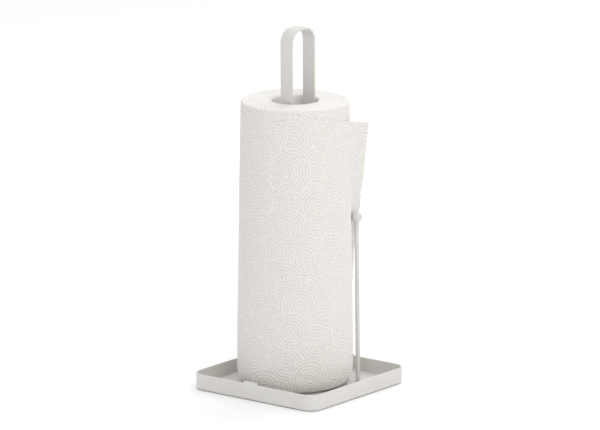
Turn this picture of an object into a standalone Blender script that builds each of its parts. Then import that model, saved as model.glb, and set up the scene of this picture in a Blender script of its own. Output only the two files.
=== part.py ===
"""Free-standing paper towel holder, loaded with one roll of kitchen paper.

A square pressed-steel tray stands on four thin pads. A flat steel band, bent into a tall
narrow loop, is screwed to the tray's centre: it is the post that the roll stands on and
the handle. A straight spring wire with a ball on its end stands in one corner of the tray
and presses the loose end of the paper on the roll.

Metres, +Z up. The origin is on the ground, under the tray's centre. The tray's sides run
along X and Y, and the loop's two legs stand apart along Y.
"""

from math import atan2, cos, hypot, pi, radians, sin, sqrt

import bmesh
import bpy
from mathutils import Matrix, Vector

# ------------------------------------------------------------------ driving dimensions
GAP = 0.0003  # running and resting clearance between pieces

TRAY_SIDE = 0.1400
TRAY_CORNER_R = 0.0125
TRAY_SHEET = 0.0014
TRAY_UNDER_Z = 0.0010  # underside of the floor, on its pads
TRAY_EDGE_R = 0.0020  # outer rounding between floor and wall
RIM_Z = 0.0153  # top of the wall
TAB_H = 0.0022  # the two rim tabs stand this far above the rim
TAB_RAMP_X = 0.0103  # foot of the tab's sloped end, from the wall's middle
TAB_TOP_X = 0.0072  # top of the sloped end
TAB_STEP_X = 0.0058  # the other, upright end
FLOOR_Z = TRAY_UNDER_Z + TRAY_SHEET

PAD_R = 0.0070
PAD_H = TRAY_UNDER_Z - GAP
PAD_X = 0.0520

LOOP_WIDTH = 0.0132  # the band's width, along X
LOOP_SPAN = 0.0342  # outside to outside of the legs, along Y
LOOP_SHEET = 0.0018
LOOP_TOP_Z = 0.3306
LOOP_TOP_R = 0.0132
LOOP_FOOT_R = 0.0026
LOOP_FOOT_TIP = 0.0036  # how near the feet come to the middle
LOOP_SCREW_Y = 0.0090

ARM_X = ARM_Y = 0.0380  # the wire's foot, on the tray's diagonal
ARM_R = 0.0020
BALL_R = 0.0050
BALL_Z = 0.1552
BALL_DIST = 0.0564  # from the roll's axis: the ball clears every height of the winding

ROLL_X, ROLL_Y = -0.0050, 0.0  # the roll hangs against the loop's +X edges
CORE_IN_R = 0.0211
CORE_SHEET = 0.0008
PAPER_IN_R = CORE_IN_R + CORE_SHEET + GAP
PAPER_LOW_R = 0.0513  # outside radius near the bottom
PAPER_TOP_R = 0.0491  # and near the top: the winding is slightly conical
PAPER_TOP_Z = 0.2642
PAPER_LOW_ROUND = 0.0170
PAPER_TOP_ROUND = 0.0025

SHEET_T = 0.0004  # one two-ply sheet with its emboss
SIDE_ANGLE = radians(37.8)  # direction, seen from the roll's axis, of the loose end


# ------------------------------------------------------------------ helpers
for leftover in list(bpy.data.objects):
    bpy.data.objects.remove(leftover, do_unlink=True)

parts = bpy.data.collections.new("paper_towel_holder")
cutters = bpy.data.collections.new("cutters")
bpy.context.scene.collection.children.link(parts)
bpy.context.scene.collection.children.link(cutters)


def material(name, colour, roughness, metallic=0.0):
    found = bpy.data.materials.get(name)
    if found:
        return found
    mat = bpy.data.materials.new(name)
    mat.use_nodes = True
    shader = mat.node_tree.nodes["Principled BSDF"]
    shader.inputs["Base Color"].default_value = (*colour, 1.0)
    shader.inputs["Roughness"].default_value = roughness
    shader.inputs["Metallic"].default_value = metallic
    mat.diffuse_color = (*colour, 1.0)
    return mat


def piece(name, bm, mat, location=(0, 0, 0), rotation=None):
    """A new object in the parts collection, from a bmesh."""
    mesh = bpy.data.meshes.new(name)
    bm.to_mesh(mesh)
    bm.free()
    obj = bpy.data.objects.new(name, mesh)
    parts.objects.link(obj)
    mesh.materials.append(mat)
    obj.location = location
    if rotation is not None:
        obj.rotation_mode = "QUATERNION"
        obj.rotation_quaternion = rotation
    mesh.shade_smooth()
    mesh.set_sharp_from_angle(angle=radians(35))
    return obj


def solidify(obj, thickness, offset):
    mod = obj.modifiers.new("sheet", "SOLIDIFY")
    mod.thickness = thickness
    mod.offset = offset
    mod.use_even_offset = True
    mod.use_rim = True
    return mod


def bevel(obj, width, segments=2, angle=60):
    mod = obj.modifiers.new("edges", "BEVEL")
    mod.width = width
    mod.segments = segments
    mod.limit_method = "ANGLE"
    mod.angle_limit = radians(angle)
    mod.use_clamp_overlap = True
    return mod


def screw_about_z(obj, steps):
    mod = obj.modifiers.new("turned", "SCREW")
    mod.axis = "Z"
    mod.angle = 2 * pi
    mod.steps = steps
    mod.render_steps = steps
    mod.use_merge_vertices = True
    mod.merge_threshold = 0.00001
    mod.use_smooth_shade = True
    return mod


def turned(name, profile, steps, mat, location=(0, 0, 0), rotation=None, closed=False):
    """A turned piece: the profile lies in X-Z at +X and runs down its outer side."""
    bm = bmesh.new()
    verts = [bm.verts.new((r, 0.0, z)) for r, z in profile]
    for a, b in zip(verts, verts[1:]):
        bm.edges.new((a, b))
    if closed:
        bm.edges.new((verts[-1], verts[0]))
    obj = piece(name, bm, mat, location, rotation)
    screw_about_z(obj, steps)
    return obj


def cylinder_cutter(name, radius, low, high, location=(0, 0, 0), rotation=None, sides=24):
    bm = bmesh.new()
    bmesh.ops.create_cone(
        bm, cap_ends=True, segments=sides, radius1=radius, radius2=radius, depth=high - low
    )
    bmesh.ops.translate(bm, verts=bm.verts, vec=(0, 0, (low + high) / 2))
    mesh = bpy.data.meshes.new(name)
    bm.to_mesh(mesh)
    bm.free()
    obj = bpy.data.objects.new(name, mesh)
    cutters.objects.link(obj)
    obj.location = location
    if rotation is not None:
        obj.rotation_mode = "QUATERNION"
        obj.rotation_quaternion = rotation
    obj.hide_render = True
    obj.display_type = "WIRE"
    return obj


def cut(obj, cutter):
    mod = obj.modifiers.new("cut_" + cutter.name, "BOOLEAN")
    mod.operation = "DIFFERENCE"
    mod.object = cutter
    mod.solver = "EXACT"
    return mod


def arc(cx, cz, radius, start, end, steps):
    """Points on an arc, in degrees from +X towards +Z."""
    return [
        (
            cx + radius * cos(radians(start + (end - start) * i / steps)),
            cz + radius * sin(radians(start + (end - start) * i / steps)),
        )
        for i in range(steps + 1)
    ]


coat = material("grey_powder_coat", (0.66, 0.645, 0.62), 0.48, 0.0)
zinc = material("zinc_plated_steel", (0.62, 0.62, 0.60), 0.35, 0.9)
rubber = material("pad_rubber", (0.18, 0.18, 0.18), 0.85)
paper = material("kitchen_paper", (0.88, 0.87, 0.85), 0.95)
board = material("core_cardboard", (0.62, 0.58, 0.53), 0.9)

# ------------------------------------------------------------------ base tray
# A box with rounded upright corners and a rounded lower edge, open at the top, drawn as
# its outer skin and thickened inwards. On two opposite walls the rim is drawn up into a tab.
bm = bmesh.new()
bmesh.ops.create_cube(bm, size=1.0)
bmesh.ops.scale(bm, vec=(TRAY_SIDE, TRAY_SIDE, RIM_Z - TRAY_UNDER_Z), verts=bm.verts)
bmesh.ops.translate(bm, vec=(0, 0, (RIM_Z + TRAY_UNDER_Z) / 2), verts=bm.verts)
upright = [e for e in bm.edges if abs(e.verts[0].co.z - e.verts[1].co.z) > 0.001]
bmesh.ops.bevel(
    bm, geom=upright, offset=TRAY_CORNER_R, segments=9, profile=0.5, affect="EDGES"
)
lower = [e for e in bm.edges if max(v.co.z for v in e.verts) < TRAY_UNDER_Z + 0.0001]
bmesh.ops.bevel(
    bm, geom=lower, offset=TRAY_EDGE_R, segments=4, profile=0.5, affect="EDGES"
)
lid = [f for f in bm.faces if f.calc_center_median().z > RIM_Z - 0.0001]
bmesh.ops.delete(bm, geom=lid, context="FACES_ONLY")
for side in (-1, 1):
    rim = next(
        e
        for e in bm.edges
        if e.is_boundary
        and all(abs(v.co.y - side * TRAY_SIDE / 2) < 1e-5 for v in e.verts)
        and e.calc_length() > TRAY_SIDE / 2
    )
    # The tab's sloped end is on the left, seen from outside that wall.
    ends = {"ramp": side * TAB_RAMP_X, "step": -side * TAB_STEP_X}
    found = {}
    edge = rim
    for key in sorted(ends, key=lambda k: ends[k]):
        a = min(edge.verts, key=lambda v: v.co.x)
        b = max(edge.verts, key=lambda v: v.co.x)
        fac = (ends[key] - a.co.x) / (b.co.x - a.co.x)
        new_edge, vert = bmesh.utils.edge_split(edge, a, fac)
        found[key] = vert
        edge = next(
            e for e in vert.link_edges if e.is_boundary and e.other_vert(vert).co.x > vert.co.x
        )
    tab_edge = next(
        e for e in found["ramp"].link_edges if e.other_vert(found["ramp"]) is found["step"]
    )
    grown = bmesh.ops.extrude_edge_only(bm, edges=[tab_edge])["geom"]
    for v in (g for g in grown if isinstance(g, bmesh.types.BMVert)):
        v.co.z = RIM_Z + TAB_H
        if abs(v.co.x - side * TAB_RAMP_X) < 1e-5:
            v.co.x = side * TAB_TOP_X
bmesh.ops.recalc_face_normals(bm, faces=bm.faces)
if next(f for f in bm.faces if f.calc_center_median().z < TRAY_UNDER_Z + 1e-5).normal.z > 0:
    bmesh.ops.reverse_faces(bm, faces=bm.faces)
tray = piece("base_tray", bm, coat)
solidify(tray, TRAY_SHEET, -1.0)
bevel(tray, 0.0003, 2)

SCREW_HOLE_R = 0.0020
ARM_HOLE_R = 0.00135
for side, word in ((-1, "front"), (1, "back")):
    cut(
        tray,
        cylinder_cutter(
            f"cut_tray_{word}", SCREW_HOLE_R, -0.01, 0.01, (0, side * LOOP_SCREW_Y, 0)
        ),
    )
cut(tray, cylinder_cutter("cut_tray_arm", ARM_HOLE_R, -0.01, 0.01, (ARM_X, ARM_Y, 0)))

# ------------------------------------------------------------------ non-slip pads
for sx, sy, word in (
    (-1, -1, "front_left"),
    (1, -1, "front_right"),
    (-1, 1, "back_left"),
    (1, 1, "back_right"),
):
    bm = bmesh.new()
    bmesh.ops.create_cone(
        bm, cap_ends=True, segments=32, radius1=PAD_R, radius2=PAD_R, depth=PAD_H
    )
    pad = piece("foot_" + word, bm, rubber, (sx * PAD_X, sy * PAD_X, PAD_H / 2))
    bevel(pad, 0.0002, 1)

# ------------------------------------------------------------------ loop post
# The band's outer face, from one foot's tip to the other's, swept along X and thickened
# inwards. Each foot turns in under the loop and lies on the tray's floor.
LOOP_LOW_Z = FLOOR_Z + GAP
half = LOOP_SPAN / 2
path = [(LOOP_FOOT_TIP, LOOP_LOW_Z)]
path += arc(half - LOOP_FOOT_R, LOOP_LOW_Z + LOOP_FOOT_R, LOOP_FOOT_R, -90, 0, 5)
path += arc(half - LOOP_TOP_R, LOOP_TOP_Z - LOOP_TOP_R, LOOP_TOP_R, 0, 90, 12)
path += [(-y, z) for y, z in reversed(path)]
bm = bmesh.new()
verts = [bm.verts.new((-LOOP_WIDTH / 2, y, z)) for y, z in path]
edges = [bm.edges.new(pair) for pair in zip(verts, verts[1:])]
swept = bmesh.ops.extrude_edge_only(bm, edges=edges)["geom"]
bmesh.ops.translate(
    bm,
    vec=(LOOP_WIDTH, 0, 0),
    verts=[g for g in swept if isinstance(g, bmesh.types.BMVert)],
)
bmesh.ops.recalc_face_normals(bm, faces=bm.faces)
crown = max(bm.faces, key=lambda f: f.calc_center_median().z)
if crown.normal.z < 0:
    bmesh.ops.reverse_faces(bm, faces=bm.faces)
post = piece("loop_post", bm, coat)
solidify(post, LOOP_SHEET, -1.0)
bevel(post, 0.0005, 2)
for side, word in ((-1, "front"), (1, "back")):
    cut(
        post,
        cylinder_cutter(
            f"cut_post_{word}",
            SCREW_HOLE_R,
            LOOP_LOW_Z - 0.002,
            LOOP_LOW_Z + LOOP_SHEET + 0.002,
            (0, side * LOOP_SCREW_Y, 0),
        ),
    )

# ------------------------------------------------------------------ screws and nuts
HEAD_TOP_Z = TRAY_UNDER_Z - GAP
HEAD_H = 0.00055
SHANK_R = SCREW_HOLE_R - GAP
NUT_LOW_Z = LOOP_LOW_Z + LOOP_SHEET + GAP
NUT_H = 0.0030
NUT_FLATS = 0.0070


def thin_screw(name, x, y, head_r, shank_r, tip_z):
    low = HEAD_TOP_Z - HEAD_H
    profile = [
        (0.0, tip_z),
        (shank_r - 0.0003, tip_z),
        (shank_r, tip_z - 0.0004),
        (shank_r, HEAD_TOP_Z),
        (head_r, HEAD_TOP_Z),
        (head_r, low + 0.0002),
        (head_r - 0.0003, low),
        (0.0, low),
    ]
    obj = turned(name, profile, 32, zinc, (x, y, 0))
    socket = cylinder_cutter(
        "cut_" + name, head_r * 0.36, low - 0.001, low + 0.0003, (x, y, 0), sides=6
    )
    cut(obj, socket)
    return obj


for side, word in ((-1, "front"), (1, "back")):
    thin_screw(
        f"loop_screw_{word}",
        0,
        side * LOOP_SCREW_Y,
        0.0038,
        SHANK_R,
        NUT_LOW_Z + NUT_H + 0.0005,
    )
    bm = bmesh.new()
    corner = NUT_FLATS / sqrt(3)
    bmesh.ops.create_cone(
        bm, cap_ends=True, segments=6, radius1=corner, radius2=corner, depth=NUT_H
    )
    nut = piece(
        f"loop_nut_{word}", bm, zinc, (0, side * LOOP_SCREW_Y, NUT_LOW_Z + NUT_H / 2)
    )
    bevel(nut, 0.0003, 1, 50)
    cut(
        nut,
        cylinder_cutter(
            f"cut_nut_{word}",
            SCREW_HOLE_R,
            NUT_LOW_Z - 0.002,
            NUT_LOW_Z + NUT_H + 0.002,
            (0, side * LOOP_SCREW_Y, 0),
        ),
    )

# ------------------------------------------------------------------ spring arm
# The arm's own origin is at its foot, where it bends out. It leans towards the roll until
# its ball meets the loose sheet.
ARM_LOW_Z = FLOOR_Z + GAP


def paper_radius(z):
    """The winding's outside radius, between its rounded ends."""
    low = FLOOR_Z + GAP + PAPER_LOW_ROUND
    high = PAPER_TOP_Z - PAPER_TOP_ROUND
    return PAPER_LOW_R + (PAPER_TOP_R - PAPER_LOW_R) * (z - low) / (high - low)


out_angle = atan2(ARM_Y - ROLL_Y, ARM_X - ROLL_X)
out = Vector((cos(out_angle), sin(out_angle), 0))
ball = Vector((ROLL_X, ROLL_Y, BALL_Z)) + out * BALL_DIST
arm_foot = Vector((ARM_X, ARM_Y, ARM_LOW_Z))
lean = (ball - arm_foot).to_track_quat("Z", "Y")
ball_along = (ball - arm_foot).length
STUD_R = ARM_HOLE_R - GAP
STUD_TIP_Z = ARM_LOW_Z + 0.0044
bore_r = STUD_R + 0.00038
bore_h = 0.0052
top = ball_along + 0.0010
wire = turned(
    "arm_wire",
    [
        (0.0, top),
        (ARM_R - 0.0003, top),
        (ARM_R, top - 0.0003),
        (ARM_R, 0.0002),
        (ARM_R - 0.0002, 0.0),
        (bore_r, 0.0),
        (bore_r, bore_h),
        (0.0, bore_h + 0.0006),
    ],
    24,
    coat,
    arm_foot,
    lean,
)
bm = bmesh.new()
bmesh.ops.create_uvsphere(bm, u_segments=28, v_segments=18, radius=BALL_R)
ball_obj = piece("arm_ball", bm, coat, ball, lean)
cut(
    ball_obj,
    cylinder_cutter("cut_ball", ARM_R + GAP, -0.008, 0.0014, ball, lean, sides=24),
)
thin_screw("arm_screw", ARM_X, ARM_Y, 0.0028, STUD_R, STUD_TIP_Z)

# ------------------------------------------------------------------ paper roll
low = FLOOR_Z + GAP
turned(
    "roll_core",
    [
        (CORE_IN_R, PAPER_TOP_Z - 0.0008),
        (CORE_IN_R + CORE_SHEET, PAPER_TOP_Z - 0.0008),
        (CORE_IN_R + CORE_SHEET, low),
        (CORE_IN_R, low),
    ],
    64,
    board,
    (ROLL_X, ROLL_Y, 0),
    closed=True,
)
profile = [(PAPER_IN_R, PAPER_TOP_Z)]
profile += arc(
    PAPER_TOP_R - PAPER_TOP_ROUND, PAPER_TOP_Z - PAPER_TOP_ROUND, PAPER_TOP_ROUND, 90, 0, 4
)
profile += arc(
    PAPER_LOW_R - PAPER_LOW_ROUND, low + PAPER_LOW_ROUND, PAPER_LOW_ROUND, 0, -90, 8
)
profile += [(PAPER_IN_R, low)]
turned("paper_roll", profile, 64, paper, (ROLL_X, ROLL_Y, 0), closed=True)

# ------------------------------------------------------------------ loose sheet
# The loose part of the last turn: it leaves the winding, passes between the ball and the
# roll, and its free edge stands away above the ball. It has slipped a little, so its upper
# edge falls from the roll's top towards the free corner. Below the ball the last turn lies
# on the winding and counts as part of it.
CORNER_Z = 0.2437
SHEET_LOW_Z = 0.1500
WRAP_FROM = radians(64)  # the modelled wrap begins this far ahead of the free edge's side
side = Vector((cos(SIDE_ANGLE), sin(SIDE_ANGLE)))
ahead = Vector((sin(SIDE_ANGLE), -cos(SIDE_ANGLE)))


def smooth(t):
    t = max(0.0, min(1.0, t))
    return t * t * (3 - 2 * t)


def free_edge(z):
    """How far the free edge stands sideways and ahead of the roll's axis."""
    up = max(0.0, (z - BALL_Z) / (CORNER_Z - BALL_Z))
    sideways = 0.0563 + (0.0662 - 0.0563) * up**0.80
    forward = -0.0150 + 0.0150 * smooth(up)
    return sideways, forward


def leave_angle(z):
    """Where the sheet leaves the winding, as an angle ahead of the side direction."""
    return radians(-1.0 + 31.0 * smooth((z - BALL_Z - 0.002) / 0.060))


def sheet_point(s, t):
    """s runs from the wrapped start, 0, to the free edge, 1; t from the low edge up."""
    top_z = CORNER_Z + 0.0052 * min(1.0, (1 - s) / 0.5) + 0.0060 * max(0.0, 0.5 - s) / 0.5
    z = SHEET_LOW_Z + (top_z - SHEET_LOW_Z) * t
    r = paper_radius(z) + GAP + SHEET_T / 2
    leave = leave_angle(z)
    if s <= 0.5:
        a = WRAP_FROM + (leave - WRAP_FROM) * s / 0.5
        p = side * (r * cos(a)) + ahead * (r * sin(a))
    else:
        k = (s - 0.5) / 0.5
        start = side * (r * cos(leave)) + ahead * (r * sin(leave))
        along = side * sin(leave) - ahead * cos(leave)
        ex, ey = free_edge(z)
        end = side * ex + ahead * ey
        mid = start + along * ((end - start).length * 0.5)
        p = start * (1 - k) ** 2 + mid * (2 * k * (1 - k)) + end * k * k
    return (ROLL_X + p.x, ROLL_Y + p.y, z)


bm = bmesh.new()
bmesh.ops.create_grid(bm, x_segments=20, y_segments=16, size=0.5)
for v in bm.verts:
    v.co = Vector(sheet_point(v.co.x + 0.5, v.co.y + 0.5))
bmesh.ops.recalc_face_normals(bm, faces=bm.faces)
sheet = piece("loose_sheet", bm, paper)
solidify(sheet, SHEET_T, 0.0)

# ------------------------------------------------------------------ moving groups
# Empties on the joint axes: the roll lifts and turns on its own axis, the arm bends at its
# foot. Each group's pieces are children of its empty.
bpy.context.view_layer.update()


def group(name, location, members):
    empty = bpy.data.objects.new(name, None)
    empty.empty_display_size = 0.02
    parts.objects.link(empty)
    empty.location = location
    bpy.context.view_layer.update()
    for member in members:
        obj = bpy.data.objects[member]
        obj.parent = empty
        obj.matrix_parent_inverse = empty.matrix_world.inverted()
    return empty


group("arm_axis", arm_foot, ["arm_wire", "arm_ball"])
group("roll_axis", (ROLL_X, ROLL_Y, low), ["roll_core", "paper_roll", "loose_sheet"])
bpy.data.objects["cut_ball"].parent = None
bpy.context.view_layer.update()
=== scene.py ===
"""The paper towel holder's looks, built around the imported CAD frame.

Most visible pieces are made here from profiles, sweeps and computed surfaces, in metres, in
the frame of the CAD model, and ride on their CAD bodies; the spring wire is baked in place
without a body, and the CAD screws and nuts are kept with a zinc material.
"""

import math

import bmesh
import bpy
import numpy as np
from mathutils import Matrix, Vector


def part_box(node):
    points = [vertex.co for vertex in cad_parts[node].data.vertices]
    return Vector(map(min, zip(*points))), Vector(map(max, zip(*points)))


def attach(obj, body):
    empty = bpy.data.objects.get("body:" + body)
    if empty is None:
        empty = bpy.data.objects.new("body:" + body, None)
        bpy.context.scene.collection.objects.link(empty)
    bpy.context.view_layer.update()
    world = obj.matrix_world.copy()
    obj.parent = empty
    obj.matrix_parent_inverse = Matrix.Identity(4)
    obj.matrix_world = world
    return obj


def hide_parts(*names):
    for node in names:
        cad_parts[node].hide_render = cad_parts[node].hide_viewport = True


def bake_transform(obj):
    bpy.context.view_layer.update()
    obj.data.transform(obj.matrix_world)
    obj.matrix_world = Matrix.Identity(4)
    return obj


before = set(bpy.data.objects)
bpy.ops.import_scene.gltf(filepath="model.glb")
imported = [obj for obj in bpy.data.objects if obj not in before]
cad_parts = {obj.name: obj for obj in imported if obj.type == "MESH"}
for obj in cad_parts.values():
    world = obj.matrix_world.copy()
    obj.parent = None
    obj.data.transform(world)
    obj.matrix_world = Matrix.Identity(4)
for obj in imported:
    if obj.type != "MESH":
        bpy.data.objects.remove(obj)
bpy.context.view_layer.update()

# ------------------------------------------------------------------ the CAD's dimensions
FLOOR_Z = 0.0024
UNDER_Z = 0.0005
RIM_Z = 0.0153
TRAY = 0.0700
TRAY_R = 0.0125
EDGE_R = 0.0016
SHEET_STEEL = 0.0013
AX, AY = -0.0050, 0.0  # the roll's axis
ROLL_LOW, ROLL_TOP = 0.0027, 0.0642 + 0.2
CORE_IN, CORE_OUT = 0.0211, 0.0219
BORE = 0.0222
LOOP_W, LOOP_SPAN, LOOP_T = 0.0132, 0.0342, 0.0018
LOOP_TOP, LOOP_R, LOOP_FOOT_R, LOOP_TIP = 0.3306, 0.0132, 0.0026, 0.0036
ARM_FOOT = np.array([0.038, 0.038, 0.0027])
BALL_Z, BALL_R, WIRE_R, BALL_DIST = 0.1552, 0.0050, 0.0020, 0.0558
out_angle = math.atan2(ARM_FOOT[1] - AY, ARM_FOOT[0] - AX)
BALL = np.array(
    [AX + BALL_DIST * math.cos(out_angle), AY + BALL_DIST * math.sin(out_angle), BALL_Z]
)
SIDE = math.radians(37.8)
side = np.array([math.cos(SIDE), math.sin(SIDE), 0.0])
ahead = np.array([math.sin(SIDE), -math.cos(SIDE), 0.0])
rng = np.random.default_rng(7)


def smooth(t):
    t = np.clip(t, 0.0, 1.0)
    return t * t * (3 - 2 * t)


# ------------------------------------------------------------------ mesh helpers
def new_object(name, verts, quads, tris=None, shade=True):
    """A mesh object from arrays of points, quads and triangles."""
    me = bpy.data.meshes.new(name)
    verts = np.asarray(verts, np.float32).reshape(-1, 3)
    quads = np.asarray(quads, np.int32).reshape(-1, 4)
    tris = np.zeros((0, 3), np.int32) if tris is None else np.asarray(tris, np.int32).reshape(-1, 3)
    me.vertices.add(len(verts))
    me.vertices.foreach_set("co", verts.ravel())
    me.loops.add(quads.size + tris.size)
    me.loops.foreach_set("vertex_index", np.concatenate([quads.ravel(), tris.ravel()]))
    me.polygons.add(len(quads) + len(tris))
    starts = np.concatenate(
        [np.arange(len(quads)) * 4, quads.size + np.arange(len(tris)) * 3]
    ).astype(np.int32)
    me.polygons.foreach_set("loop_start", starts)
    me.update(calc_edges=True)
    me.validate()
    if shade:
        me.shade_smooth()
    obj = bpy.data.objects.new(name, me)
    bpy.context.scene.collection.objects.link(obj)
    return obj


def ring_quads(rows, cols, close_rows=False, close_cols=True, flip=False):
    """Quads of a grid of points held row by row."""
    r = np.arange(rows if close_rows else rows - 1)
    c = np.arange(cols if close_cols else cols - 1)
    r, c = np.meshgrid(r, c, indexing="ij")
    r1, c1 = (r + 1) % rows, (c + 1) % cols
    q = np.stack([r * cols + c, r * cols + c1, r1 * cols + c1, r1 * cols + c], -1)
    q = q.reshape(-1, 4)
    return q[:, ::-1] if flip else q


def lathe(name, profile, steps, matrix=None):
    """A turned piece from a profile that starts and ends on its axis, or closes on itself."""
    profile = np.array(profile, float)
    on_axis = profile[0, 0] < 1e-9 and profile[-1, 0] < 1e-9
    t = np.arange(steps) * 2 * math.pi / steps
    body = profile[1:-1] if on_axis else profile
    pts = np.stack(
        [
            body[:, :1] * np.cos(t)[None],
            body[:, :1] * np.sin(t)[None],
            np.repeat(body[:, 1:], steps, 1),
        ],
        -1,
    ).reshape(-1, 3)
    quads = ring_quads(len(body), steps, close_rows=not on_axis, flip=True)
    tris = None
    if on_axis:
        first, last = len(pts), len(pts) + 1
        pts = np.vstack([pts, [0, 0, profile[0, 1]], [0, 0, profile[-1, 1]]])
        i = np.arange(steps)
        j = (i + 1) % steps
        base = (len(body) - 1) * steps
        tris = np.vstack(
            [np.stack([np.full(steps, first), i, j], 1),
             np.stack([np.full(steps, last), base + j, base + i], 1)]
        )
    if matrix is not None:
        pts = np.c_[pts, np.ones(len(pts))] @ np.array(matrix).T[:, :3]
    return new_object(name, pts, quads, tris)


def arc(cx, cz, r, start, end, n):
    a = np.radians(np.linspace(start, end, n + 1))
    return [(cx + r * math.cos(x), cz + r * math.sin(x)) for x in a]


def outward(obj):
    """Turns the faces out if the closed mesh's volume is negative."""
    bm = bmesh.new()
    bm.from_mesh(obj.data)
    if bm.calc_volume(signed=True) < 0:
        bmesh.ops.reverse_faces(bm, faces=bm.faces)
        bm.to_mesh(obj.data)
    bm.free()
    return obj


def sharpen(obj, degrees=40):
    obj.data.set_sharp_from_angle(angle=math.radians(degrees))
    return obj


def drill(obj, holes):
    """Cuts round holes, each (x, y, low z, high z, radius), along Z."""
    for k, (x, y, low, high, r) in enumerate(holes):
        bm = bmesh.new()
        bmesh.ops.create_cone(bm, cap_ends=True, segments=48, radius1=r, radius2=r, depth=high - low)
        bmesh.ops.translate(bm, verts=bm.verts, vec=(x, y, (low + high) / 2))
        me = bpy.data.meshes.new("cutter")
        bm.to_mesh(me)
        bm.free()
        tool = bpy.data.objects.new("cutter", me)
        bpy.context.scene.collection.objects.link(tool)
        mod = obj.modifiers.new("hole", "BOOLEAN")
        mod.operation, mod.object, mod.solver = "DIFFERENCE", tool, "EXACT"
        bpy.context.view_layer.update()
        made = bpy.data.meshes.new_from_object(
            obj.evaluated_get(bpy.context.evaluated_depsgraph_get())
        )
        obj.modifiers.clear()
        old = obj.data
        obj.data = made
        made.name = old.name + "_cut"
        bpy.data.meshes.remove(old)
        bpy.data.objects.remove(tool)
        bpy.data.meshes.remove(me)


# ------------------------------------------------------------------ materials
def base_material(name, colour, roughness):
    mat = bpy.data.materials.new(name)
    mat.use_nodes = True
    nt = mat.node_tree
    bsdf = nt.nodes["Principled BSDF"]
    bsdf.inputs["Base Color"].default_value = (*colour, 1)
    bsdf.inputs["Roughness"].default_value = roughness
    coord = nt.nodes.new("ShaderNodeTexCoord")
    return mat, nt, bsdf, coord


def noise(nt, coord, scale, detail=3.0, rough=0.5, stretch=None):
    node = nt.nodes.new("ShaderNodeTexNoise")
    node.inputs["Scale"].default_value = scale
    node.inputs["Detail"].default_value = detail
    node.inputs["Roughness"].default_value = rough
    if stretch is None:
        nt.links.new(coord.outputs["Object"], node.inputs["Vector"])
    else:
        m = nt.nodes.new("ShaderNodeMapping")
        m.inputs["Scale"].default_value = stretch
        nt.links.new(coord.outputs["Object"], m.inputs["Vector"])
        nt.links.new(m.outputs["Vector"], node.inputs["Vector"])
    return node


def ramp(nt, source, stops):
    node = nt.nodes.new("ShaderNodeValToRGB")
    el = node.color_ramp.elements
    while len(el) < len(stops):
        el.new(0.5)
    for e, (pos, col) in zip(el, stops):
        e.position = pos
        e.color = (*col, 1)
    nt.links.new(source, node.inputs["Fac"])
    return node


def maprange(nt, source, lo, hi, a, b):
    node = nt.nodes.new("ShaderNodeMapRange")
    node.inputs["From Min"].default_value = lo
    node.inputs["From Max"].default_value = hi
    node.inputs["To Min"].default_value = a
    node.inputs["To Max"].default_value = b
    nt.links.new(source, node.inputs["Value"])
    return node


def bump(nt, bsdf, sources, distance, strength=1.0):
    """One bump node on the sum of weighted heights."""
    total = None
    for src, weight in sources:
        mul = nt.nodes.new("ShaderNodeMath")
        mul.operation = "MULTIPLY"
        mul.inputs[1].default_value = weight
        nt.links.new(src, mul.inputs[0])
        if total is None:
            total = mul
        else:
            add = nt.nodes.new("ShaderNodeMath")
            add.operation = "ADD"
            nt.links.new(total.outputs[0], add.inputs[0])
            nt.links.new(mul.outputs[0], add.inputs[1])
            total = add
    node = nt.nodes.new("ShaderNodeBump")
    node.inputs["Strength"].default_value = strength
    node.inputs["Distance"].default_value = distance
    nt.links.new(total.outputs[0], node.inputs["Height"])
    nt.links.new(node.outputs["Normal"], bsdf.inputs["Normal"])
    return node


def powder_coat():
    mat, nt, bsdf, co = base_material("powder_coat", (0.66, 0.645, 0.62), 0.45)
    patch = noise(nt, co, 35.0, 3, 0.5)
    speck = noise(nt, co, 1400.0, 2, 0.6)
    mix = nt.nodes.new("ShaderNodeMath")
    mix.operation = "ADD"
    half = nt.nodes.new("ShaderNodeMath")
    half.operation = "MULTIPLY"
    half.inputs[1].default_value = 0.35
    nt.links.new(speck.outputs["Fac"], half.inputs[0])
    nt.links.new(patch.outputs["Fac"], mix.inputs[0])
    nt.links.new(half.outputs[0], mix.inputs[1])
    tone = ramp(
        nt,
        mix.outputs[0],
        [(0.35, (0.600, 0.584, 0.560)), (0.72, (0.640, 0.625, 0.602)), (1.0, (0.662, 0.647, 0.624))],
    )
    nt.links.new(tone.outputs["Color"], bsdf.inputs["Base Color"])
    rough = maprange(nt, speck.outputs["Fac"], 0.3, 0.7, 0.40, 0.54)
    nt.links.new(rough.outputs["Result"], bsdf.inputs["Roughness"])
    peel = noise(nt, co, 520.0, 2, 0.5)
    bump(nt, bsdf, [(peel.outputs["Fac"], 1.0), (speck.outputs["Fac"], 0.5)], 0.00006, 0.7)
    return mat


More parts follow.
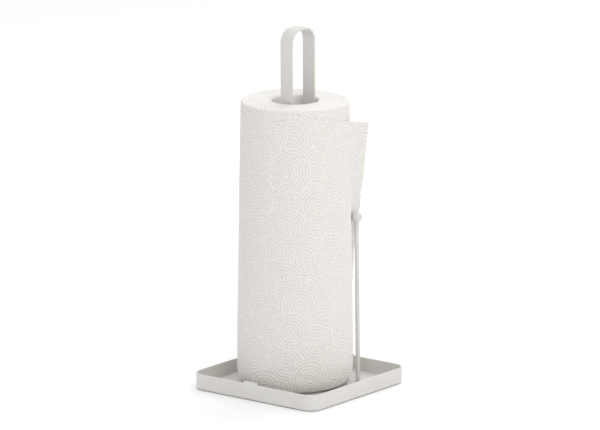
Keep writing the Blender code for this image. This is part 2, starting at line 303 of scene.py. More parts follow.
def paper_material(name="tissue", board=False):
    mat, nt, bsdf, co = base_material(name, (0.76, 0.745, 0.72), 0.95)
    fibre = noise(nt, co, 900.0, 4, 0.65, (1, 1, 0.45))
    cloud = noise(nt, co, 60.0, 3, 0.5)
    tone = ramp(
        nt,
        fibre.outputs["Fac"],
        [(0.28, (0.690, 0.668, 0.634)), (0.52, (0.740, 0.720, 0.688)), (0.78, (0.775, 0.757, 0.728))],
    )
    nt.links.new(tone.outputs["Color"], bsdf.inputs["Base Color"])
    rough = maprange(nt, cloud.outputs["Fac"], 0.3, 0.7, 0.90, 1.0)
    nt.links.new(rough.outputs["Result"], bsdf.inputs["Roughness"])
    bsdf.inputs["Specular IOR Level"].default_value = 0.25
    bsdf.inputs["Sheen Weight"].default_value = 0.12
    bsdf.inputs["Sheen Roughness"].default_value = 0.6
    crepe = noise(nt, co, 1500.0, 3, 0.6, (1, 1, 0.25))
    bump(nt, bsdf, [(fibre.outputs["Fac"], 1.0), (crepe.outputs["Fac"], 0.7)], 0.00012, 0.55)
    return mat


def paper_ends_material():
    """The roll's flat ends: the edges of its wound layers, as fine spiral lines."""
    mat, nt, bsdf, co = base_material("tissue_edges", (0.76, 0.745, 0.72), 0.97)
    shift = nt.nodes.new("ShaderNodeMapping")
    shift.vector_type = "POINT"
    shift.inputs["Location"].default_value = (-AX, -AY, 0)
    nt.links.new(co.outputs["Object"], shift.inputs["Vector"])
    wave = nt.nodes.new("ShaderNodeTexWave")
    wave.wave_type = "RINGS"
    wave.rings_direction = "Z"
    wave.wave_profile = "SIN"
    wave.inputs["Scale"].default_value = 150.0
    wave.inputs["Distortion"].default_value = 2.2
    wave.inputs["Detail"].default_value = 2.0
    wave.inputs["Detail Scale"].default_value = 1.2
    nt.links.new(shift.outputs["Vector"], wave.inputs["Vector"])
    fibre = noise(nt, co, 1100.0, 4, 0.65)
    tone = ramp(
        nt,
        wave.outputs["Fac"],
        [(0.0, (0.735, 0.712, 0.685)), (0.45, (0.76, 0.742, 0.718)), (1.0, (0.78, 0.764, 0.742))],
    )
    nt.links.new(tone.outputs["Color"], bsdf.inputs["Base Color"])
    rough = maprange(nt, fibre.outputs["Fac"], 0.3, 0.7, 0.92, 1.0)
    nt.links.new(rough.outputs["Result"], bsdf.inputs["Roughness"])
    bsdf.inputs["Specular IOR Level"].default_value = 0.2
    bump(nt, bsdf, [(wave.outputs["Fac"], 0.5), (fibre.outputs["Fac"], 0.5)], 0.00012, 0.5)
    return mat


def board_material():
    mat, nt, bsdf, co = base_material("core_board", (0.82, 0.798, 0.766), 0.9)
    fibre = noise(nt, co, 420.0, 4, 0.6, (1, 1, 0.35))
    tone = ramp(
        nt,
        fibre.outputs["Fac"],
        [(0.3, (0.78, 0.757, 0.725)), (0.55, (0.82, 0.798, 0.766)), (0.8, (0.85, 0.83, 0.80))],
    )
    nt.links.new(tone.outputs["Color"], bsdf.inputs["Base Color"])
    rough = maprange(nt, fibre.outputs["Fac"], 0.3, 0.7, 0.84, 0.98)
    nt.links.new(rough.outputs["Result"], bsdf.inputs["Roughness"])
    bump(nt, bsdf, [(fibre.outputs["Fac"], 1.0)], 0.00010, 0.6)
    return mat


def zinc_material():
    mat, nt, bsdf, co = base_material("bright_zinc", (0.62, 0.62, 0.60), 0.32)
    bsdf.inputs["Metallic"].default_value = 1.0
    fine = noise(nt, co, 1600.0, 3, 0.6)
    tone = ramp(nt, fine.outputs["Fac"], [(0.3, (0.52, 0.52, 0.50)), (0.7, (0.68, 0.68, 0.665))])
    nt.links.new(tone.outputs["Color"], bsdf.inputs["Base Color"])
    rough = maprange(nt, fine.outputs["Fac"], 0.3, 0.7, 0.25, 0.45)
    nt.links.new(rough.outputs["Result"], bsdf.inputs["Roughness"])
    bump(nt, bsdf, [(fine.outputs["Fac"], 1.0)], 0.00002, 0.5)
    return mat


def rubber_material():
    mat, nt, bsdf, co = base_material("pad_rubber", (0.05, 0.05, 0.05), 0.8)
    fine = noise(nt, co, 1300.0, 3, 0.6)
    tone = ramp(nt, fine.outputs["Fac"], [(0.3, (0.035, 0.035, 0.035)), (0.7, (0.06, 0.06, 0.06))])
    nt.links.new(tone.outputs["Color"], bsdf.inputs["Base Color"])
    rough = maprange(nt, fine.outputs["Fac"], 0.3, 0.7, 0.72, 0.9)
    nt.links.new(rough.outputs["Result"], bsdf.inputs["Roughness"])
    bump(nt, bsdf, [(fine.outputs["Fac"], 1.0)], 0.00005, 0.7)
    return mat


COAT, TISSUE, EDGES = powder_coat(), paper_material(), paper_ends_material()
BOARD, ZINC, RUBBER = board_material(), zinc_material(), rubber_material()


# ------------------------------------------------------------------ tray
def rounded_square(half, radius, stations, corner_steps):
    """Points round a square with rounded corners, anticlockwise from the -Y side. stations
    are places along a side, from -1 to 1, given in the flat part's own length."""
    pts = []
    for k in range(4):
        flat = half - radius
        along = stations * flat
        local = np.stack([along, np.full(len(along), -half)], 1)
        a = np.radians(np.linspace(-90, 0, corner_steps + 2)[1:-1])
        corner = np.stack([flat + radius * np.cos(a), -flat + radius * np.sin(a)], 1)
        local = np.vstack([local, corner])
        c, s = math.cos(k * math.pi / 2), math.sin(k * math.pi / 2)
        pts.append(local @ np.array([[c, s], [-s, c]]))
    return np.vstack(pts)


def tray():
    flat = TRAY - TRAY_R
    coarse = np.linspace(-1, 1, 27)
    fine = []
    for x0, x1 in ((-0.0112, -0.0062), (0.0050, 0.0066)):
        fine += list(np.arange(x0, x1, 0.00016) / flat)
    fine += list(-np.array(fine))
    stations = np.unique(np.round(np.concatenate([coarse, fine]), 6))
    t, r_low = SHEET_STEEL, EDGE_R
    # (distance inwards from the outer wall, height)
    prof = [(0.0690, UNDER_Z)]
    prof += [(r_low - x, z) for x, z in [(p[0], p[1]) for p in arc(0.0, UNDER_Z + r_low, r_low, -90, 0, 8)]]
    prof += [(0.0, 0.0075), (0.0, 0.0110), (0.0, 0.0128)]
    edge = 0.00042
    prof += [(edge - p[0], p[1]) for p in arc(0.0, RIM_Z - edge, edge, 0, 90, 4)]
    prof += [(t - edge - p[0], p[1]) for p in arc(0.0, RIM_Z - edge, edge, 90, 180, 4)]
    prof += [(t, 0.0128), (t, 0.0110), (t, 0.0075)]
    ri = r_low - t
    prof += [(t + ri - p[0], p[1]) for p in arc(0.0, FLOOR_Z + ri, ri, 0, -90, 6)]
    prof += [(0.0690, FLOOR_Z)]
    rings = []
    for d, z in prof:
        d = max(d, 0.0)
        radius = max(TRAY_R - d, 0.0006)
        ring = rounded_square(TRAY - d, min(radius, TRAY - d - 1e-4), stations, 22)
        zz = np.full(len(ring), z)
        if z > 0.0127:  # the rim's two tabs: a sloped end and an upright one
            x, y = ring[:, 0], ring[:, 1]
            for sign in (-1, 1):
                on = (np.abs(y - sign * TRAY) < 0.003) & (np.abs(x) < 0.02)
                xs = -sign * x  # from the sloped end towards the upright one
                up = smooth((xs + 0.0106) / 0.0034) * (1 - smooth((xs - 0.0055) / 0.0006))
                share = min(1.0, (z - 0.0127) / (RIM_Z - 0.0006 - 0.0127))
                zz = np.where(on, z + 0.0022 * up * share, zz)
        rings.append(np.c_[ring, zz])
    n = len(rings[0])
    pts = np.vstack(rings)
    quads = ring_quads(len(rings), n)
    first, last = len(pts), len(pts) + 1
    pts = np.vstack([pts, [0, 0, UNDER_Z], [0, 0, FLOOR_Z]])
    i = np.arange(n)
    j = (i + 1) % n
    base = (len(rings) - 1) * n
    tris = np.vstack(
        [np.stack([np.full(n, first), j, i], 1), np.stack([np.full(n, last), base + i, base + j], 1)]
    )
    obj = outward(new_object("tray", pts, quads, tris))
    drill(
        obj,
        [(0, -0.009, -0.01, 0.01, 0.0020), (0, 0.009, -0.01, 0.01, 0.0020), (0.038, 0.038, -0.01, 0.01, 0.00135)],
    )
    return sharpen(obj, 50)


# ------------------------------------------------------------------ loop post
def loop_post():
    low = FLOOR_Z + 0.0003
    half = LOOP_SPAN / 2
    ht = LOOP_T / 2
    mid = half - ht  # the band's middle line
    line = [(LOOP_TIP, low + ht)]
    line += [(y, z) for y, z in arc(half - LOOP_FOOT_R, low + LOOP_FOOT_R, LOOP_FOOT_R - ht, -90, 0, 10)]
    line += [(mid, z) for z in np.linspace(0.02, LOOP_TOP - LOOP_R - 0.004, 14)]
    line += [(y, z) for y, z in arc(half - LOOP_R, LOOP_TOP - LOOP_R, LOOP_R - ht, 0, 90, 28)]
    line = np.array(line)
    line = np.vstack([line, (line * [-1, 1])[::-1]])
    keep = np.r_[True, np.linalg.norm(np.diff(line, axis=0), axis=1) > 1e-6]
    line = line[keep]
    along = np.gradient(line, axis=0)
    # end directions follow the feet
    along[0], along[-1] = (1, 0), (1, 0)
    along /= np.linalg.norm(along, axis=1)[:, None]
    along[0] = (line[1] - line[0]) / np.linalg.norm(line[1] - line[0])
    along[-1] = (line[-1] - line[-2]) / np.linalg.norm(line[-1] - line[-2])
    normal = np.stack([along[:, 1], -along[:, 0]], 1)  # points out of the loop
    e = 0.00032
    sec = []
    for cx, cn, a0 in (
        (LOOP_W / 2 - e, ht - e, 0),
        (-LOOP_W / 2 + e, ht - e, 90),
        (-LOOP_W / 2 + e, -ht + e, 180),
        (LOOP_W / 2 - e, -ht + e, 270),
    ):
        sec += arc(cx, cn, e, a0, a0 + 90, 5)
    sec = np.array(sec)
    pts = np.stack(
        [
            np.repeat(sec[None, :, 0], len(line), 0),
            line[:, None, 0] + sec[None, :, 1] * normal[:, None, 0],
            line[:, None, 1] + sec[None, :, 1] * normal[:, None, 1],
        ],
        -1,
    )
    m = len(sec)
    quads = ring_quads(len(line), m)
    me_pts = pts.reshape(-1, 3)
    # the post stands a very little out of plumb
    me_pts = me_pts - side * (0.00135 * np.clip(me_pts[:, 2:] / LOOP_TOP, 0, 1))
    obj = new_object("loop", me_pts, quads)
    bm = bmesh.new()
    bm.from_mesh(obj.data)
    bm.verts.ensure_lookup_table()
    for base in (0, (len(line) - 1) * m):
        bm.faces.new([bm.verts[base + k] for k in range(m)])
    bmesh.ops.recalc_face_normals(bm, faces=bm.faces)
    bm.to_mesh(obj.data)
    bm.free()
    outward(obj)
    obj.data.shade_smooth()
    drill(obj, [(0, -0.009, low - 0.003, low + 0.005, 0.0020), (0, 0.009, low - 0.003, low + 0.005, 0.0020)])
    return sharpen(obj, 60)


# ------------------------------------------------------------------ spring arm
axis = BALL - ARM_FOOT
arm_length = float(np.linalg.norm(axis))
turn = Vector((0, 0, 1)).rotation_difference(Vector(axis)).to_matrix().to_4x4()


def spring_arm():
    top = arm_length + 0.0010
    prof = [(0.0, top), (WIRE_R - 0.0004, top), (WIRE_R, top - 0.0004)]
    prof += [(WIRE_R, z) for z in np.linspace(top - 0.004, 0.002, 44)]
    prof += [(WIRE_R, 0.0003), (WIRE_R - 0.0003, 0.0), (0.00145, 0.0), (0.00143, 0.0002), (0.00143, 0.0052), (0.0, 0.0057)]
    move = Matrix.Translation(Vector(ARM_FOOT)) @ turn
    wire = outward(lathe("wire", prof, 40, move))
    sharpen(wire, 50)
    hole = WIRE_R + 0.00008
    a0 = math.degrees(math.acos(hole / BALL_R))
    prof = [(0.0, BALL_R)]
    prof += [p for p in arc(0.0, 0.0, BALL_R, 90, -a0, 44)[1:-1]]
    zh = -BALL_R * math.sin(math.radians(a0))
    prof += [(hole + 0.00018, zh - 0.00004), (hole + 0.00003, zh + 0.00008), (hole, zh + 0.0003), (hole, 0.0012), (0.0, 0.0014)]
    move = Matrix.Translation(Vector(BALL)) @ turn
    ball = outward(lathe("ball", prof, 64, move))
    sharpen(ball, 50)
    return wire, ball


# ------------------------------------------------------------------ the paper's emboss
R_NOM = 0.0510  # pattern radius: one turn is 2 pi R_NOM long
TURN = 2 * math.pi * R_NOM
CELL = 0.00025
NS, NZ = int(round(TURN / CELL)), 1060


def emboss_map():
    """Depth of the embossed dots, 0 to 1, on a grid of place round the roll by height.

    The pattern is of overlapping round motifs, each a set of dotted rings; every dot belongs
    to one motif only, and dots that would crowd a neighbour's are left out.
    """
    # the drift of the motifs on the side away from the spring arm
    placed = [
        (113.4, 225.4), (81.9, 240.6), (48.0, 240.5), (0.4, 218.7), (120.4, 184.3), (86.0, 209.0),
        (38.0, 197.0), (126.7, 139.4), (44.3, 132.0), (87.0, 158.0), (50.6, 96.9), (92.0, 112.0),
        (123.7, 38.9), (67.1, 17.4), (30.0, 60.0), (84.0, 62.0), (12.0, 165.0), (10.0, 112.0),
    ]
    centres = [((SIDE * R_NOM - a / 1000) % TURN, b / 1000) for a, b in placed]
    for _ in range(6000):
        s, z = rng.uniform(0, TURN), rng.uniform(-0.012, 0.275)
        if all(math.hypot((s - a + TURN / 2) % TURN - TURN / 2, z - b) > 0.0255 for a, b in centres):
            centres.append((s, z))
    centres = np.array(
        [
            (a, b, rng.uniform(0.0150, 0.0200) if k < 18 else rng.uniform(0.0120, 0.0200), rng.random())
            for k, (a, b) in enumerate(centres)
        ]
    )

    def owner(s, z):
        ds = (s[:, None] - centres[None, :, 0] + TURN / 2) % TURN - TURN / 2
        dist = np.hypot(ds, z[:, None] - centres[None, :, 1])
        inside = dist < centres[None, :, 2]
        score = np.where(inside, 10 + centres[None, :, 3], -dist / 0.02)
        return score.argmax(1)

    dots = []
    pitch, gap = 0.00300, 0.00240
    for k, (cs, cz, rad, _) in enumerate(centres):
        wobble = rng.uniform(0, 2 * math.pi)
        for ring in range(9):
            rho = 0.0008 + ring * pitch
            n = max(1, int(round(2 * math.pi * rho / gap))) if ring else 3
            a = wobble + ring * 1.7 + np.arange(n) * 2 * math.pi / n
            s, z = cs + rho * np.cos(a), cz + rho * np.sin(a)
            ok = owner(s % TURN, z) == k
            for x, y, d in zip(s[ok] % TURN, z[ok], a[ok]):
                dots.append((x, y, d, k))
    dots = np.array(dots)
    # thin out dots closer than 1.5 mm to one of another motif
    order = np.lexsort((dots[:, 1], dots[:, 0]))
    dots = dots[order]
    keep = np.ones(len(dots), bool)
    for i in range(len(dots)):
        if not keep[i]:
            continue
        j = i + 1
        while j < len(dots) and dots[j, 0] - dots[i, 0] < 0.0016:
            if keep[j] and dots[j, 3] != dots[i, 3]:
                if math.hypot(dots[j, 0] - dots[i, 0], dots[j, 1] - dots[i, 1]) < 0.0016:
                    keep[j] = False
            j += 1
    dots = dots[keep]
    depth = np.zeros((NS, NZ), np.float32)
    w = 5
    du, dv = np.meshgrid(np.arange(-w, w + 1), np.arange(-w, w + 1), indexing="ij")
    for s, z, d, _ in dots:
        iu, iv = int(round(s / CELL)), int(round(z / CELL))
        if iv < -w or iv > NZ + w:
            continue
        x = (iu + du) * CELL - s
        y = (iv + dv) * CELL - z
        tang = -x * math.sin(d) + y * math.cos(d)
        rad = x * math.cos(d) + y * math.sin(d)
        g = np.exp(-(((tang / 0.00070) ** 2 + (rad / 0.00064) ** 2) ** 1.35))
        rows_i, cols_i = (iu + du) % NS, iv + dv
        ok = (cols_i >= 0) & (cols_i < NZ)
        np.maximum.at(depth, (rows_i[ok], cols_i[ok]), g[ok].astype(np.float32))
    return depth


DEPTH = emboss_map()


def emboss(s, z):
    """The map at a place, with smooth sampling."""
    u = (np.asarray(s) / CELL) % NS
    v = np.clip(np.asarray(z) / CELL, 0, NZ - 1.001)
    i, j = np.floor(u).astype(int), np.floor(v).astype(int)
    fu, fv = u - i, v - j
    i0, i1, j1 = i % NS, (i + 1) % NS, np.minimum(j + 1, NZ - 1)
    return (
        DEPTH[i0, j] * (1 - fu) * (1 - fv)
        + DEPTH[i1, j] * fu * (1 - fv)
        + DEPTH[i0, j1] * (1 - fu) * fv
        + DEPTH[i1, j1] * fu * fv
    )


def value_noise(u, v, seed, period_u=None):
    """Smooth noise from -1 to 1 on two coordinates, with an optional period along the first."""
    u, v = np.broadcast_arrays(np.asarray(u, float), np.asarray(v, float))
    gen = np.random.default_rng(seed)
    table = gen.uniform(-1, 1, (256, 256))
    iu, iv = np.floor(u).astype(int), np.floor(v).astype(int)
    fu, fv = u - iu, v - iv
    fu, fv = fu * fu * (3 - 2 * fu), fv * fv * (3 - 2 * fv)
    nu = (lambda a: a % period_u) if period_u else (lambda a: a % 256)
    a, b = nu(iu), nu(iu + 1)
    c, d = iv % 256, (iv + 1) % 256
    return (
        table[a, c] * (1 - fu) * (1 - fv)
        + table[b, c] * fu * (1 - fv)
        + table[a, d] * (1 - fu) * fv
        + table[b, d] * fu * fv
    )


def grid_uv(me, rows, cols):
    """A map for a grid that closes on itself both ways: one cell of the unit square for each face."""
    v = np.zeros(len(me.loops), np.int64)
    me.loops.foreach_get("vertex_index", v)
    v = v.reshape(-1, 4)
    r, c = v // cols, v % cols
    r = np.where((np.ptp(r, axis=1) > rows / 2)[:, None] & (r == 0), rows, r)
    c = np.where((np.ptp(c, axis=1) > cols / 2)[:, None] & (c == 0), cols, c)
    uv = np.stack([c / cols, r / rows], -1).astype(np.float32)
    me.uv_layers.new(name="OFBake").data.foreach_set("uv", uv.ravel())


def sheet_uv(me, rows, cols, rim):
    """A map for the sheet: the outer face, the inner face and a strip for its edge."""
    count = rows * cols
    v = np.zeros(len(me.loops), np.int64)
    me.loops.foreach_get("vertex_index", v)
    v = v.reshape(-1, 4)
    inner = v >= count
    base = v % count
    r, c = base // cols, base % cols
    u = 0.48 * c / (cols - 1) + np.where(inner, 0.50, 0.0)
    w = r / (rows - 1.0)
    place = np.zeros(count)
    place[rim] = np.arange(len(rim))
    along = place[base]
    along = np.where((np.ptp(along, axis=1) > len(rim) / 2)[:, None] & (along == 0), len(rim), along)
    edge = (inner.any(axis=1) & ~inner.all(axis=1))[:, None]
    u = np.where(edge, np.where(inner, 0.999, 0.985), u)
    w = np.where(edge, along / len(rim), w)
    me.uv_layers.new(name="OFBake").data.foreach_set("uv", np.stack([u, w], -1).astype(np.float32).ravel())


EMBOSS = 0.00112  # depth of a dot
NEAR_ROUND = 0.0140
TOP_ROUND = 0.0026


def roll_radius(z):
    return np.interp(
        z,
        [0.0, 0.020, 0.035, 0.082, 0.128, 0.175, 0.219, 0.264],
        [0.0525, 0.0524, 0.05225, 0.0517, 0.0511, 0.0504, 0.0495, 0.0488],
    )


def paper_roll():
    na = 840
    th = np.arange(na) * 2 * math.pi / na
    prof = []  # (radius, z, emboss weight, part)
    r_top = roll_radius(ROLL_TOP - TOP_ROUND)
    for a in np.linspace(90, 0, 13):
        a = math.radians(a)
        prof.append((r_top - TOP_ROUND + TOP_ROUND * math.cos(a), ROLL_TOP - TOP_ROUND + TOP_ROUND * math.sin(a), float(smooth(1.05 - a / math.radians(75))), 0))
    z_hi, z_lo = ROLL_TOP - TOP_ROUND, ROLL_LOW + NEAR_ROUND
    for z in np.linspace(z_hi, z_lo, int((z_hi - z_lo) / 0.00040))[1:]:
        prof.append((roll_radius(z), z, 1.0, 0))
    r_low = roll_radius(z_lo)
    foot_end = math.radians(64)
    for a in np.linspace(0, foot_end, 52)[1:]:
        inward = 0.0102 * (1 - math.cos(a)) / (1 - math.cos(foot_end))
        prof.append((r_low - inward, z_lo - NEAR_ROUND * math.sin(a) / math.sin(foot_end), 1.0, 0))
    for r in np.linspace(r_low - 0.0102, BORE, 16)[1:]:
        prof.append((r, ROLL_LOW, 0.0, 1))
    for z in np.linspace(ROLL_LOW, ROLL_TOP, 26)[1:]:
        prof.append((BORE, z, 0.0, 2))
    for r in np.linspace(BORE, r_top - TOP_ROUND, 64)[1:-1]:
        prof.append((r, ROLL_TOP, 0.0, 1))
    prof = np.array(prof)
    r, z, w, part = (prof[:, k][:, None] for k in range(4))
    # profile normals, for the emboss
    dr, dz = np.gradient(prof[:, 0]), np.gradient(prof[:, 1])
    ln = np.hypot(dr, dz) + 1e-12
    nr, nz = (-dz / ln)[:, None], (dr / ln)[:, None]
    run = np.concatenate([[0], np.cumsum(np.hypot(np.diff(prof[:, 0]), np.diff(prof[:, 1])))])[:, None]
    skin = (part == 0)
    path_z = np.where(skin, ROLL_TOP + 0.0016 - run, 0.0)  # height on the unrolled paper
    s = th[None, :] * R_NOM
    fade = smooth((path_z + 0.0005) / 0.004) * smooth((ROLL_TOP + 0.0006 - path_z) / 0.0016)
    d = emboss(np.broadcast_to(s, (len(prof), na)), np.broadcast_to(path_z + 0 * s, (len(prof), na)))
    cushion = value_noise(th[None, :] / (2 * math.pi) * 110, path_z / 0.0029, 5, 110)
    wobble = value_noise(th[None, :] / (2 * math.pi) * 9, path_z / 0.055, 11, 9)
    ball_off = (th[None, :] - out_angle + math.pi) % (2 * math.pi) - math.pi
    dent = np.exp(-((ball_off * 0.051 / 0.009) ** 2 + ((z - BALL_Z) / 0.010) ** 2))
    push = np.where(skin, (-EMBOSS * d + 0.00007 * cushion) * w * fade + 0.00022 * wobble - 0.0007 * dent, 0.0)
    # the ends: layers of paper, each a little higher or lower than the next, in one spiral
    lay = (r - BORE) / 0.00078 - th[None, :] / (2 * math.pi)
    edge_h = 0.00030 * value_noise(th[None, :] / (2 * math.pi) * 14, lay, 21, 14) + 0.00003 * np.sin(lay * 2 * math.pi)
    broad = 0.00030 * value_noise(th[None, :] / (2 * math.pi) * 5, (r - BORE) / 0.008, 31, 5)
    top_face = (part == 1) & (z > 0.1)
    ends = smooth((r - BORE) / 0.0008) * smooth((r_top - TOP_ROUND - r) / 0.0010)
    lift = np.where(top_face, (edge_h + broad - 0.00034) * ends, 0.0)
    # a short radial crease across the layers
    crease = math.radians(37.8 + 180)
    off = ((th[None, :] - crease + math.pi) % (2 * math.pi) - math.pi) * r
    bend = 0.0005 * np.sin((r - BORE) / 0.004)
    groove = np.exp(-(((off - bend) / 0.00058) ** 2)) * smooth((r - BORE + 0.0005) / 0.002) * smooth((0.0420 - r) / 0.004)
    lift = lift - np.where(top_face, 0.0019 * groove, 0.0)
    rr = r + nr * push
    zz = z + nz * push + lift
    pts = np.stack([AX + rr * np.cos(th)[None], AY + rr * np.sin(th)[None], zz + 0 * th[None]], -1)
    quads = ring_quads(len(prof), na, close_rows=True, flip=True)
    obj = outward(new_object("towel_roll", pts, quads))
    # material: the skin, and the layered ends and bore
    me = obj.data
    me.materials.append(TISSUE)
    me.materials.append(EDGES)
    rows_of = np.repeat(np.arange(len(prof)), na)
    ends_row = (prof[:, 3] > 0.5) | ((prof[:, 1] > ROLL_TOP - 0.0006) & (prof[:, 3] < 0.5))
    me.polygons.foreach_set("material_index", ends_row[rows_of].astype(np.int32))
    grid_uv(me, len(prof), na)
    return obj


# ------------------------------------------------------------------ the loose sheet
CORNER_Z = 0.2437
WRAP_FROM = math.radians(122)
EDGE_ANGLES = np.radians([-30.0, 0.0, 25.0, 40.0, 63.0, 90.0, 122.0])
EDGE_HEIGHTS = [0.2437, 0.2437, 0.2478, 0.2515, 0.2566, 0.2602, 0.2612]


def loose_sheet():
    cols_w, cols_f, rows = 300, 90, 560
    t = np.linspace(0, 1, rows)[:, None]
    u = np.concatenate([np.linspace(0, 0.5, cols_w), 0.5 + np.linspace(0, 0.5, cols_f + 1)[1:]])[None, :]
    turn_at = WRAP_FROM + (math.radians(30) - WRAP_FROM) * np.minimum(u / 0.5, 1.0)
    top = np.interp(turn_at, EDGE_ANGLES, EDGE_HEIGHTS)
    top = top + (CORNER_Z - top) * smooth(np.maximum(0.0, u - 0.5) / 0.5)
    low = 0.0042
    z = low + (top - low) * t
    # it hangs almost straight past the winding's rounded foot
    foot = [0.0, 0.0042, 0.0060, 0.0085, 0.0115, 0.0150, 0.0190, 0.0240]
    r = np.interp(z, foot, [0.0440, 0.0452, 0.0476, 0.0495, 0.0508, 0.0517, 0.0522, 0.0524])
    r = np.where(z > 0.024, roll_radius(z), r) + 0.00024
    up = np.clip((z - BALL_Z) / (CORNER_Z - BALL_Z), 0, None)
    above = z >= BALL_Z
    low_z = [0.0, 0.050, 0.078, 0.096, 0.105, 0.124, 0.138, 0.148, BALL_Z]
    low_x = [0.0490, 0.0505, 0.0513, 0.0521, 0.0526, 0.0538, 0.0549, 0.0563, 0.0579]
    low_y = [-0.0120, -0.0125, -0.0130, -0.0135, -0.0140, -0.0145, -0.0148, -0.0150, -0.0150]
    ex = np.where(above, 0.0579 + (0.0664 - 0.0579) * up**0.95, np.interp(z, low_z, low_x))
    ey = np.where(above, -0.0150 + 0.0150 * smooth(up), np.interp(z, low_z, low_y))
    leave = np.where(
        above,
        np.radians(-2.0 + 32.0 * smooth((z - BALL_Z - 0.002) / 0.060)),
        np.radians(-2.0 - 5.0 * smooth((BALL_Z - z) / 0.015)),
    )
    k = np.clip((u - 0.5) / 0.5, 0, 1)
    a = WRAP_FROM + (leave - WRAP_FROM) * np.minimum(u / 0.5, 1.0)
    # the wrapped part starts just inside the winding's skin and comes out of it
    sink = -0.00062 * (1 - smooth((WRAP_FROM - a) / math.radians(26)))
    # where the winding rounds under, its start curls in with it
    curl = (1 - smooth((z - ROLL_LOW) / 0.016)) * (1 - smooth((math.radians(88) - a) / math.radians(36)))
    # the ball presses it, and the winding under it, in a little
    near = np.exp(-(((a - math.radians(-3.7)) * r / 0.009) ** 2 + ((z - BALL_Z) / 0.010) ** 2))
    rw = r + sink - 0.0075 * curl - 0.0006 * near
    wx, wy = rw * np.cos(a), rw * np.sin(a)
    sx, sy = rw * np.cos(leave), rw * np.sin(leave)
    dx, dy = np.sin(leave), -np.cos(leave)
    reach = np.hypot(ex - sx, ey - sy)
    mx, my = sx + dx * reach * 0.5, sy + dy * reach * 0.5
    fx = sx * (1 - k) ** 2 + mx * 2 * k * (1 - k) + ex * k * k
    fy = sy * (1 - k) ** 2 + my * 2 * k * (1 - k) + ey * k * k
    free = u > 0.5
    px, py = np.where(free, fx, wx), np.where(free, fy, wy)
    zz = z + 0 * u
    # the perforated free edge is very slightly ragged
    ragged = 0.00022 * value_noise(zz / 0.0011, np.zeros_like(zz), 77) * smooth((k - 0.97) / 0.03)
    px = px + ragged
    pts = px[..., None] * side + py[..., None] * ahead + np.stack([np.full_like(px, AX), np.full_like(px, AY), zz], -1)
    # unrolled place of every point: by angle while wrapped, then by length
    step = np.hypot(np.diff(px, axis=1), np.diff(py, axis=1))
    angle_s = (SIDE - WRAP_FROM) * R_NOM
    s = angle_s + np.concatenate([np.zeros((rows, 1)), np.cumsum(step, 1)], 1)
    s_wrapped = (SIDE - a) * R_NOM
    base = (SIDE - leave) * R_NOM
    first_free = cols_w
    s = np.where(free, base + (s - s[:, first_free - 1 : first_free]), s_wrapped)
    # gentle buckles in the free corner
    buckle = 0.0007 * value_noise(s / 0.017, zz / 0.040, 91) * smooth(k * 1.4) * smooth((zz - BALL_Z - 0.008) / 0.03)
    du, dv = np.gradient(pts, axis=1), np.gradient(pts, axis=0)
    n = np.cross(du, dv)
    n /= np.linalg.norm(n, axis=2)[..., None] + 1e-12
    centre = np.array([AX, AY, 0.0])
    if ((n * (pts - centre))[..., :2].sum(-1)).mean() < 0:
        n = -n
    unrolled_z = zz + 0.0001
    d = emboss(s, unrolled_z)
    mid = pts + n * (-EMBOSS * d + buckle)[..., None]
    half = 0.00013
    outer, inner = mid + n * half, mid - n * half
    rows_n, cols_n = mid.shape[:2]
    count = rows_n * cols_n
    q = ring_quads(rows_n, cols_n, close_cols=False)
    q_in = q[:, ::-1] + count
    rim = np.concatenate(
        [
            np.arange(cols_n),
            np.arange(1, rows_n) * cols_n + cols_n - 1,
            (rows_n - 1) * cols_n + np.arange(cols_n - 2, -1, -1),
            np.arange(rows_n - 2, 0, -1) * cols_n,
        ]
    )
    nxt = np.roll(rim, -1)
    edge = np.stack([rim, rim + count, nxt + count, nxt], 1)
    obj = new_object("loose_end", np.vstack([outer.reshape(-1, 3), inner.reshape(-1, 3)]), np.vstack([q, q_in, edge]))
    bm = bmesh.new()
    bm.from_mesh(obj.data)
    bmesh.ops.recalc_face_normals(bm, faces=bm.faces)
    bm.to_mesh(obj.data)
    bm.free()
    outward(obj)
    sharpen(obj, 60)
    obj.data.materials.append(TISSUE)
    sheet_uv(obj.data, rows_n, cols_n, rim)
    a1 = np.linalg.norm(np.cross(np.diff(pts, axis=1)[:-1], np.diff(pts, axis=0)[:, :-1]), axis=2).sum()
    width = float((s[:, -1] - s[:, 0]).mean())
    return obj, width, float(zz.max() - zz.min()), float(a1)


def roll_core():
    prof = []
    z1 = ROLL_TOP - 0.0008
    prof += [(CORE_IN, z1 - 0.0002), (CORE_IN + 0.0002, z1), (CORE_OUT - 0.0002, z1), (CORE_OUT, z1 - 0.0002)]
    prof += [(CORE_OUT, z) for z in np.linspace(z1 - 0.001, ROLL_LOW + 0.001, 90)]
    prof += [(CORE_OUT, ROLL_LOW), (CORE_IN, ROLL_LOW)]
    prof += [(CORE_IN, z) for z in np.linspace(ROLL_LOW + 0.001, z1 - 0.001, 360)]
    obj = lathe("core_tube", prof, 200)
    me = obj.data
    co = np.zeros(len(me.vertices) * 3, np.float32)
    me.vertices.foreach_get("co", co)
    co = co.reshape(-1, 3)
    r = np.hypot(co[:, 0], co[:, 1])
    a = np.arctan2(co[:, 1], co[:, 0])
    # the wound board strip's joint, a shallow spiral groove on the inner wall
    turn_z = (co[:, 2] - a / (2 * math.pi) * 0.082) % 0.082
    line = np.exp(-(((turn_z - 0.041) / 0.0006) ** 2)) * (r < CORE_IN + 0.0001)
    k = (r + 0.00018 * line) / r
    co[:, :2] *= k[:, None]
    co[:, 0] += AX
    co[:, 1] += AY
    me.vertices.foreach_set("co", co.ravel())
    me.update()
    outward(obj)
    return sharpen(obj, 50)


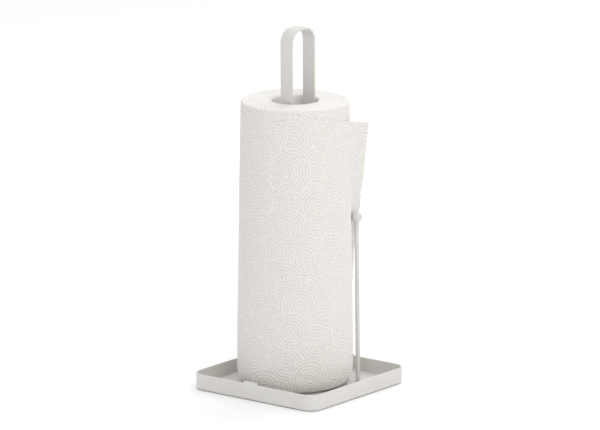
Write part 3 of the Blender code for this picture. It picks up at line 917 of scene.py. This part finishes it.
# ------------------------------------------------------------------ make and mount the pieces
def finish_piece(obj, body, nodes, mat=None):
    if mat is not None:
        obj.data.materials.clear()
        obj.data.materials.append(mat)
    if body:
        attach(obj, body)
    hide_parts(*nodes)
    return obj


finish_piece(tray(), "base", ["base_tray"], COAT)
finish_piece(loop_post(), "base", ["loop_post"], COAT)
wire, ball = spring_arm()
finish_piece(wire, None, ["arm_wire"], COAT)
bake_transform(wire)
finish_piece(ball, "arm", ["arm_ball"], COAT)
roll = finish_piece(paper_roll(), "paper", ["paper_roll"])
sheet, sheet_w, sheet_h, sheet_area = loose_sheet()
finish_piece(sheet, "paper", ["loose_sheet"])
finish_piece(roll_core(), "core", ["roll_core"], BOARD)

for word, sx, sy in (("front_left", -1, -1), ("front_right", 1, -1), ("back_left", -1, 1), ("back_right", 1, 1)):
    lo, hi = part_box("foot_" + word)
    c = (lo + hi) / 2
    rad, h = (hi.x - lo.x) / 2, UNDER_Z
    prof = [(0.0, h), (rad - 0.0002, h)] + arc(rad - 0.0002, h - 0.0002, 0.0002, 90, 0, 4)[1:]
    prof += arc(rad - 0.0002, 0.0002, 0.0002, 0, -90, 4) + [(rad - 0.0012, 0.0), (rad - 0.0014, 0.00012), (0.0, 0.00012)]
    pad = outward(lathe("pad_" + word, prof, 72, Matrix.Translation((c.x, c.y, 0))))
    sharpen(pad, 50)
    finish_piece(pad, "base", ["foot_" + word], RUBBER)

for node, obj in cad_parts.items():
    if node.startswith(("loop_screw", "loop_nut", "arm_screw")):
        obj.data.materials.clear()
        obj.data.materials.append(ZINC)

# ------------------------------------------------------------------ floor, light and camera
floor_me = bpy.data.meshes.new("floor")
floor_me.from_pydata([(-40, -40, 0), (40, -40, 0), (40, 40, 0), (-40, 40, 0)], [], [(0, 1, 2, 3)])
floor = bpy.data.objects.new("floor", floor_me)
bpy.context.scene.collection.objects.link(floor)
fm = bpy.data.materials.new("floor_white")
fm.use_nodes = True
fb = fm.node_tree.nodes["Principled BSDF"]
fb.inputs["Base Color"].default_value = (0.93, 0.93, 0.93, 1)
fb.inputs["Roughness"].default_value = 0.9
fb.inputs["Specular IOR Level"].default_value = 0.1
floor_me.materials.append(fm)

scene = bpy.context.scene
world = bpy.data.worlds.new("studio")
scene.world = world
world.use_nodes = True
bg = world.node_tree.nodes["Background"]
bg.inputs["Color"].default_value = (1.0, 1.0, 1.0, 1)
bg.inputs["Strength"].default_value = 0.90


def softbox(name, place, size, power):
    """A square area light aimed at the middle of the object."""
    data = bpy.data.lights.new(name, "AREA")
    data.shape, data.size, data.energy = "SQUARE", size, power
    obj = bpy.data.objects.new(name, data)
    scene.collection.objects.link(obj)
    obj.location = place
    aim = Vector(place) - Vector((0, 0, 0.15))
    obj.rotation_mode = "QUATERNION"
    obj.rotation_quaternion = aim.to_track_quat("Z", "Y")
    return obj


rise = np.array([0.0, 0.0, 1.0])
softbox("overhead", tuple(1.6 * rise - 1.1 * ahead + 0.5 * side), 1.4, 10.4)
softbox("front", tuple(1.3 * rise + 2.2 * ahead + 0.4 * side), 1.4, 2.6)
softbox("right", tuple(1.0 * rise + 0.6 * ahead + 1.9 * side), 0.8, 1.6)
softbox("near", tuple(0.95 * rise + 0.75 * ahead + 0.35 * side), 0.4, 2.3)

scene.view_settings.view_transform = "Standard"
scene.view_settings.look = "None"
scene.view_settings.exposure = 0.0
scene.view_settings.gamma = 1.0

cam_data = bpy.data.cameras.new("camera")
cam_data.sensor_fit = "HORIZONTAL"
cam_data.sensor_width = 36.0
cam_data.lens = 335.46
cam_data.clip_start, cam_data.clip_end = 0.1, 200
cam = bpy.data.objects.new("camera", cam_data)
scene.collection.objects.link(cam)
cam.location = (3.00817, -3.87428, 1.29996)
cam.rotation_euler = (math.radians(90 - 13.10), 0, math.radians(37.82))
scene.camera = cam
